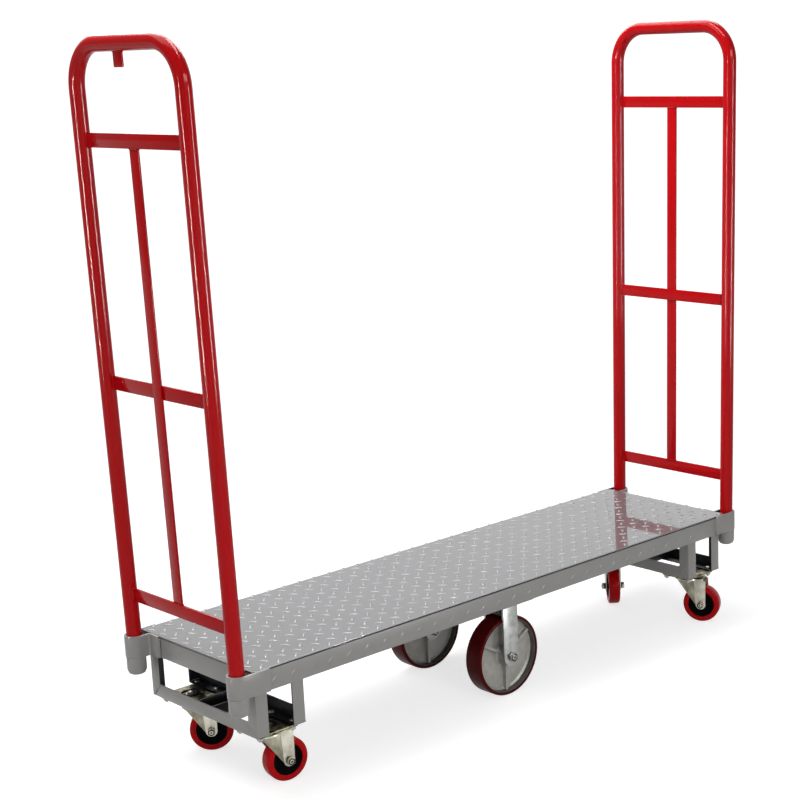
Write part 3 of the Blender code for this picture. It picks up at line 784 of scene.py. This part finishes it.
caster = {
    "plate": (0.112, 0.096),
    "plateHigh": 0.1397,
    "plateEdge": 0.0009,
    "corner": 0.009,
    "dishOuter": 0.027,
    "dishInner": 0.0135,
    "dishDepth": 0.0035,
    "raceLow": 0.1252,
    "race": 0.034,
    "raceBore": 0.007,
    "raceLip": 0.028,
    "crown": 0.033,
    "crownLow": 0.1209,
    "crownHigh": 0.1249,
    "crownBore": 0.0065,
    "kingpin": 0.006,
    "kingpinHead": 0.010,
    "trail": 0.041,
    "axleZ": 0.0508,
    "legInner": 0.0183,
    "wall": 0.0035,
    "crease": 0.0011,
    "stripTop": 0.0185,
    "legEnd": 0.0135,
    "front": -0.022,
    "back": 0.047,
    "axleAcross": 0.017,
    "core": 0.0362,
    "coreHalf": 0.0145,
    "hub": 0.013,
    "hubHalf": 0.018,
    "bore": 0.0053,
    "tread": 0.0508,
    "treadHalf": 0.016,
    "shoulder": 0.006,
}
trailDegrees = {("rear", "right"): -9, ("rear", "left"): -38, ("front", "right"): -63, ("front", "left"): -131}


def plateMesh(name, size, low, high):  # a top plate with round corners
    plate = boxPiece(name, (-size[0] / 2, -size[1] / 2, low), (size[0] / 2, size[1] / 2, high))
    roundPlate(plate, caster["corner"], 6)
    return soften(plate, caster["plateEdge"], 2, 50)


def casterPlateMesh(name):  # with a dished ring on top and the upper race below
    plate = plateMesh(name, caster["plate"], plateLow, caster["plateHigh"])
    top, deep = caster["plateHigh"] + 0.001, caster["plateHigh"] - caster["dishDepth"]
    inner, outer = caster["dishInner"], caster["dishOuter"]
    dish = turnedPiece("dish", [(inner, top), (inner + 0.003, deep), (outer - 0.004, deep), (outer, top)], 48)
    apply(plate, "BOOLEAN", operation="DIFFERENCE", object=dish, solver="EXACT")
    discard([dish])
    low, high, bore = caster["raceLow"], plateLow + 0.001, caster["raceBore"]
    radius, lip = caster["race"], caster["raceLip"]
    race = turnedPiece("race", [(bore, high), (radius, high), (radius, low + 0.0045),
                                (radius - 0.0015, low + 0.0032), (lip, low + 0.0028), (lip - 0.0015, low),
                                (bore, low)], 48)
    return joined([plate, soften(race, 0.0005, 2, 35)], name)


def kingpinMesh(name):
    head, radius, top = caster["kingpinHead"], caster["kingpin"], caster["plateHigh"] + 0.0003
    nutHigh = caster["crownLow"] - 0.0003
    pin = turnedPiece(name, [(0, top + 0.005), (0.004, top + 0.0048), (0.0075, top + 0.0038),
                             (0.0093, top + 0.0022), (head, top + 0.0006), (head, top), (radius, top),
                             (radius, nutHigh - 0.0085), (0.0045, nutHigh - 0.010), (0, nutHigh - 0.010)],
                      32, closed=False)
    return joined([pin, hexPiece("nut", 0.018, nutHigh - 0.007, nutHigh)], name)


def forkMesh(name):  # dished crown, bridge and two raked legs
    low, high, radius, bore = [caster[key] for key in ("crownLow", "crownHigh", "crown", "crownBore")]
    inner, wall, trail, end = [caster[key] for key in ("legInner", "wall", "trail", "legEnd")]
    front, back = caster["front"], caster["back"]
    crown = turnedPiece(name, [(bore, high), (radius - 0.003, high), (radius - 0.0008, high - 0.0008),
                               (radius, high - 0.003), (radius, low - 0.0012), (radius - 0.003, low - 0.0012),
                               (radius - 0.0032, low), (bore, low)], 48)
    bridge = boxPiece("bridge", (front, -inner - wall, low), (back, inner + wall, high - 0.0004))
    parts = [crown, soften(bridge, 0.0022, 3, 40)]
    shoulder, stripTop, thin = low - 0.004, trail - caster["stripTop"], wall - caster["crease"]
    for sign in (-1, 1):
        # the raked web stands back a little from the upright strip that carries the axle
        web = hullPiece("leg", end - 0.001, (trail, sign * (inner + thin / 2), caster["axleZ"]), thin,
                        [(front + 0.0003, high - 0.0022), (front, shoulder), (trail, shoulder),
                         (trail, high - 0.0022)])
        strip = hullPiece("strip", end, (trail, sign * (inner + wall / 2), caster["axleZ"]), wall,
                          [(stripTop, high - 0.0026), (stripTop, shoulder), (trail + end, shoulder),
                           (back, high - 0.0026)])
        parts += [soften(web, 0.0006, 2, 40), soften(strip, 0.0009, 3, 40)]
    return joined(parts, name)


def mirrored(half):  # the other half of a turned outline, taken back down
    return half + [(radius, -height) for radius, height in reversed(half)]


def axleMesh(name, finish, outer, spacer, across, height, shank, place):  # hollow rod, spacers and nuts
    seat, tip, hollow = outer + spacer, outer + spacer + height, shank * 0.5
    rod = turnedPiece(name, mirrored([(0, tip - 0.003), (hollow, tip - 0.003), (hollow, tip + 0.001),
                                      (shank - 0.0006, tip + 0.001), (shank, tip + 0.0004)]), 24, closed=False)
    parts = [rod, hexPiece("nut", across, seat + 0.0001, tip), hexPiece("nut_b", across, -tip, -seat - 0.0001)]
    for low in (outer + 0.0001, -seat):
        high, rim, flat = low + spacer - 0.0001, across * 0.5, across * 0.47
        parts.append(turnedPiece("ring", [(shank, low), (flat, low), (rim, low + 0.0004), (rim, high - 0.0004),
                                          (flat, high), (shank, high)], 32))
    piece = coat(joined(parts, name), finish)
    # dark steel on the spacers and the rod inside the hub; painted shade in the hollow ends
    paint(piece, darkSteelAndShade, lambda at, normal: abs(at.z) < seat or at.xy.length < hollow)
    return moved(piece, place, 90, "X")


def wheelPart(name, profile, steps, place, edge=0.0006):
    return moved(soften(turnedPiece(name, profile, steps, "Y"), edge, 2, 35), place)


def treadProfile(inner, outer, half, edge):  # with round shoulders
    turns = [math.radians(90 - 15 * i) for i in range(7)]
    return mirrored([(inner, half)] + [(outer - edge + edge * math.cos(turn), half - edge + edge * math.sin(turn))
                                       for turn in turns])


axlePlace = (caster["trail"], 0, caster["axleZ"])
casterBases = {
    "plate": casterPlateMesh("plate_base"),
    "kingpin": kingpinMesh("kingpin_base"),
    "fork": forkMesh("fork_base"),
    "axle": axleMesh("axle_base", forkZinc, 0.0218, 0.0035, caster["axleAcross"], 0.0065, 0.005, axlePlace),
    "core": wheelPart("core_base", mirrored([
        (caster["bore"], caster["hubHalf"]), (caster["hub"], caster["hubHalf"]), (caster["hub"] + 0.001, 0.0112),
        (0.0282, 0.0105), (0.0300, caster["coreHalf"]), (caster["core"], caster["coreHalf"])]), 64, axlePlace),
    "tread": wheelPart("tread_base", treadProfile(caster["core"], caster["tread"], caster["treadHalf"],
                                                  caster["shoulder"]), 80, axlePlace, 0.0003),
}
casterFinish = {"kingpin": clearZinc, "core": blackCore, "tread": brightTyre}
webY = caster["legInner"] + caster["wall"] - caster["crease"]
# painted shade: the raked webs get a darker zinc for the shade on their turned faces
paint(coat(casterBases["fork"], forkZinc), shadedWebZinc,
      lambda at, normal: abs(abs(at.y) - webY) < 0.0005 and at.z < caster["crownLow"])
dishLow = caster["plateHigh"] - 0.0005
# painted shade in the dished ring and on the plate's underside and the race below it
paint(coat(casterBases["plate"], plateZinc), darkSteelAndShade, lambda at, normal: (
    at.xy.length < caster["dishOuter"] and at.z < dishLow or at.z < plateLow - 0.0005))
for (end, side), degrees in trailDegrees.items():
    tag = f"{end}_{side}"
    place = (ends[end] * kingpinX, sides[side] * kingpinY, 0)
    bodies = {"plate": "deck_assembly", "kingpin": "deck_assembly", "fork": f"caster_{tag}_swivel",
              "axle": f"caster_{tag}_swivel", "core": f"caster_{tag}_wheel", "tread": f"caster_{tag}_wheel"}
    for part, base in casterBases.items():
        turn = 0 if part in ("plate", "kingpin") else degrees
        piece = copyOf(base, f"caster_{part}_full_{tag}", place, turn)
        fit(piece, casterFinish.get(part), [f"caster_{part}_{tag}"], body=bodies[part])
discard(casterBases.values())
print("casters made")


# ---- fixed centre wheels: pressed fork, ribbed iron wheel with a tyre, and the cross channel over them

centre = {
    "offset": 0.145,
    "axleZ": 0.1016,
    "radius": 0.1016,
    "treadHalf": 0.026,
    "tread": 0.0075,
    "shoulder": 0.005,
    "rimHalf": 0.0235,
    "rimInner": 0.0920,
    "webHalf": 0.005,
    "hub": 0.021,
    "hubHalf": 0.029,
    "bore": 0.00655,
    "rib": 0.007,
    "ribHalf": 0.015,
    "lipAt": 0.0225,          # edges of the plate bent down between the legs
    "lipLow": 0.2105,
    "forkHalf": 0.0242,
    "forkWall": 0.005,
    "legInner": 0.0293,
    "plateLow": 0.2377,
    "plateHigh": 0.2437,
    "plate": (0.104, 0.0866),
    "axleAcross": 0.021,
}


def centreForkMesh(name):  # top plate with bent edges, two upright legs and their welds
    inner, wall, half, low = [centre[key] for key in ("legInner", "forkWall", "forkHalf", "plateLow")]
    parts = [plateMesh(name, centre["plate"], low, centre["plateHigh"])]
    for x in (-centre["lipAt"], centre["lipAt"]):
        lip = boxPiece("lip", (x - 0.0015, -inner - 0.001, centre["lipLow"]),
                       (x + 0.0015, inner + 0.001, low + 0.001))
        parts.append(soften(lip, 0.0006, 2, 50))
    for sign in (-1, 1):
        middle = sign * (inner + wall / 2)
        leg = hullPiece("leg", half, (0, middle, centre["axleZ"]), wall,
                        [(-half, low + 0.002), (half, low + 0.002)])
        parts.append(soften(leg, 0.0009, 2, 40))
        weldY, weldZ = middle + sign * 0.003, low - 0.0006
        for x in (-1, 1):
            parts.append(weldBead("bead", (x * 0.001, weldY, weldZ), (x * 0.0238, weldY, weldZ), 0.005, 0.0022))
    return joined(parts, name)


def ironWheelMesh(name):  # hub, web and rim turned as one, with three ribs on each face
    hub, hubHalf, rim, web = [centre[key] for key in ("hub", "hubHalf", "rimInner", "webHalf")]
    wheel = turnedPiece(name, mirrored([
        (centre["bore"], hubHalf), (hub - 0.002, hubHalf), (hub, hubHalf - 0.002), (hub + 0.0015, 0.0085),
        (hub + 0.006, web), (rim - 0.006, web), (rim - 0.001, 0.009), (rim, centre["rimHalf"]),
        (centre["radius"] - centre["tread"], centre["rimHalf"])]), 72, "Y")
    for i in range(3):
        rib = boxPiece("rib", (0.012, -centre["ribHalf"], -centre["rib"] / 2),
                       (rim + 0.003, centre["ribHalf"], centre["rib"] / 2))
        moved(rib, degrees=90 + 120 * i, axis="Y")
        apply(wheel, "BOOLEAN", operation="UNION", object=rib, solver="EXACT")
        discard([rib])
    return soften(wheel, 0.0011, 3, 38)


centreAxle = (0, 0, centre["axleZ"])
centreBases = {
    "fork": centreForkMesh("centre_fork_base"),
    "axle": axleMesh("centre_axle_base", clearZinc, 0.0343, 0.0016, centre["axleAcross"], 0.009, 0.00625,
                     centreAxle),
    "core": moved(ironWheelMesh("centre_core_base"), centreAxle),
    "tread": wheelPart("centre_tread_base", treadProfile(centre["radius"] - centre["tread"], centre["radius"],
                                                         centre["treadHalf"], centre["shoulder"]),
                       96, centreAxle, 0.0003),
}
# painted shade on the rim's inner wall and lip
paint(coat(centreBases["core"], ironCoat), shadedRimIron,
      lambda at, normal: math.hypot(at.x, at.z - centre["axleZ"]) > centre["rimInner"] - 0.0009)
# painted shade on the lips bent down between the legs
paint(coat(centreBases["fork"], clearZinc), darkSteelAndShade,
      lambda at, normal: abs(at.y) < centre["legInner"] - 0.0002 and at.z < centre["plateLow"])
for side, sign in sides.items():
    for part, base in centreBases.items():
        place, turn = (0, sign * centre["offset"], 0), 180 if sign > 0 else 0
        piece = copyOf(base, f"centre_{part}_full_{side}", place, turn)
        # the centre tyres are darkened as painted shade, for the shade under the deck
        fit(piece, shadedTyre if part == "tread" else None, [f"centre_{part}_{side}"],
            body="deck_assembly" if part in ("fork", "axle") else f"centre_wheel_{side}")
discard(centreBases.values())
channel = soften(cadCopy("centre_crossmember", "centre_channel"), 0.0012, 2, 40)
fit(channel, frameCoat, ["centre_crossmember"])
print("centre wheels made")


# ---- stage: pale floor, soft light and the photograph's camera

stage = {
    "floorSize": 60,
    "pale": "#C8C8C8",        # floor and backdrop as they light the object
    "nearGlow": 0.7,          # what makes them white to the camera, under the object
    "farGlow": 1.0,           # and where the lamps don't reach
    "floorMirrored": 0.7,     # share of it that shows in reflections
    "wallMirrored": 0.82,     # the same for the wall
    "wallFar": 25,
    "wallHigh": 60,
    "roomLight": 0.34,        # the dim room round the object
}


def paleMaterial(name, share):  # painted board for the lamps, and a glow that only the camera and mirrors see
    material, tree, shader, place = startMaterial(name, Base_Color=linear(stage["pale"]), Roughness=0.9,
                                                  Specular_IOR_Level=0.1)
    path = addNode(tree, "LightPath").outputs
    away = addNode(tree, "VectorMath", {0: place}, operation="LENGTH")
    whiter = addNode(tree, "MapRange", {"Value": away.outputs["Value"], "From Min": 2, "From Max": 7,
                                        "To Min": stage["nearGlow"], "To Max": stage["farGlow"]})
    shown = addNode(tree, "MapRange", {"Value": path["Is Glossy Ray"], "To Min": 1, "To Max": share})
    strength = addNode(tree, "Math", {0: whiter.outputs["Result"], 1: shown.outputs["Result"]},
                       operation="MULTIPLY")
    glow = addNode(tree, "Emission", {"Color": (1, 1, 1, 1), "Strength": strength.outputs[0]})
    both = addNode(tree, "AddShader", {0: shader.outputs["BSDF"], 1: glow.outputs["Emission"]})
    seen = addNode(tree, "Math", {0: path["Is Camera Ray"], 1: path["Is Glossy Ray"]}, operation="MAXIMUM")
    through = addNode(tree, "Math", {0: seen.outputs[0], 1: path["Is Transmission Ray"]}, operation="MAXIMUM")
    mixed = addNode(tree, "MixShader", {0: through.outputs[0], 1: shader.outputs["BSDF"],
                                        2: both.outputs["Shader"]})
    tree.links.new(mixed.outputs["Shader"], tree.nodes["Material Output"].inputs["Surface"])
    return material


def palePlane(name, share, height, place, turn=(0, 0, 0)):
    plane = newPiece(bpy.ops.mesh.primitive_plane_add, name, (stage["floorSize"], height, 1), size=1,
                     rotation=turn, location=place)
    coat(plane, paleMaterial(f"pale {name}", share))


def makeWorld():
    world = bpy.data.worlds.new("studio")
    bpy.context.scene.world = world
    world.use_nodes = True
    tree = world.node_tree
    path = addNode(tree, "LightPath").outputs
    seen = addNode(tree, "Math", {0: path["Is Camera Ray"], 1: path["Is Transmission Ray"]}, operation="MAXIMUM")
    strength = addNode(tree, "MapRange", {"Value": seen.outputs[0], "To Min": stage["roomLight"], "To Max": 1})
    feed(tree, tree.nodes["Background"], {"Color": (1, 1, 1, 1), "Strength": strength.outputs["Result"]})


def softbox(name, place, aim, width, height, watts, gives="all", spread=180):  # or "colour", or "shine"
    light = bpy.data.lights.new(name, "AREA")
    light.shape = "RECTANGLE"
    light.size, light.size_y = width, height
    light.energy = watts
    light.spread = math.radians(spread)
    lamp = bpy.data.objects.new(name, light)
    lamp.location = place
    lamp.rotation_mode = "QUATERNION"
    lamp.rotation_quaternion = (Vector(aim) - Vector(place)).to_track_quat("-Z", "Y")
    lamp.visible_camera = False
    lamp.visible_diffuse = gives != "shine"
    lamp.visible_glossy = gives != "colour"
    bpy.context.scene.collection.objects.link(lamp)


view = {
    "place": (-2.7919, -3.0664, 1.5838),
    "yaw": 45.794,
    "pitch": -12.569,
    "roll": -1.934,
    "lens": 1712.4 * 36 / 800,
    "shift": (-0.1358, 0.0316),
}
yaw, pitch = math.radians(view["yaw"]), math.radians(view["pitch"])
palePlane("floor", stage["floorMirrored"], stage["floorSize"], (0, 0, -0.0005))
palePlane("backdrop", stage["wallMirrored"], stage["wallHigh"], (
    stage["wallFar"] * math.cos(yaw), stage["wallFar"] * math.sin(yaw), stage["wallHigh"] / 2),
    (math.radians(90), 0, yaw - math.radians(90)))
makeWorld()
softbox("overhead box", (-0.9, 1.1, 3.8), (-0.1, 0, 0.3), 3.0, 2.4, 100)
softbox("left box", (-4.4, -0.6, 1.8), (-0.8, 0, 0.8), 1.0, 2.0, 14, "colour")
softbox("right box", (-1.2, -3.8, 1.5), (-0.8, 0, 0.3), 1.4, 1.4, 45, "colour")
softbox("handle box", (-1.4, 0.4, 3.0), (0.85, 0, 1.4), 0.8, 0.8, 2.2, "colour", 44)
softbox("left streak", (-5.0, 0.1, 1.2), (0, 0, 3.0), 0.2, 2.2, 60, "shine", 60)
softbox("right streak", (1.7, -4.2, 1.2), (0, 0, 2.8), 0.2, 2.2, 60, "shine", 60)
softbox("bend streak", (-0.2, -0.35, 3.75), (-0.85, -0.16, 1.6), 1.9, 0.8, 110, "shine")
softbox("glint box", (1.6, 2.1, 3.9), (0.3, 0.2, 0.3), 4.0, 3.2, 320, "shine")
softbox("side glint box", (-0.1, -3.9, 2.7), (0, 0, 0.3), 3.0, 1.0, 150, "shine")

look = Vector((math.cos(pitch) * math.cos(yaw), math.cos(pitch) * math.sin(yaw), math.sin(pitch)))
cameraData = bpy.data.cameras.new("camera")
cameraData.sensor_width = 36
cameraData.lens = view["lens"]
cameraData.shift_x, cameraData.shift_y = view["shift"]
cameraData.clip_end = 100
camera = bpy.data.objects.new("camera", cameraData)
camera.rotation_mode = "QUATERNION"
camera.location = view["place"]
camera.rotation_quaternion = look.to_track_quat("-Z", "Y") @ Quaternion((0, 0, 1), math.radians(view["roll"]))
bpy.context.scene.collection.objects.link(camera)
bpy.context.scene.camera = camera
bpy.context.scene.view_settings.view_transform = "Standard"
print("stage made")

clearSelection()
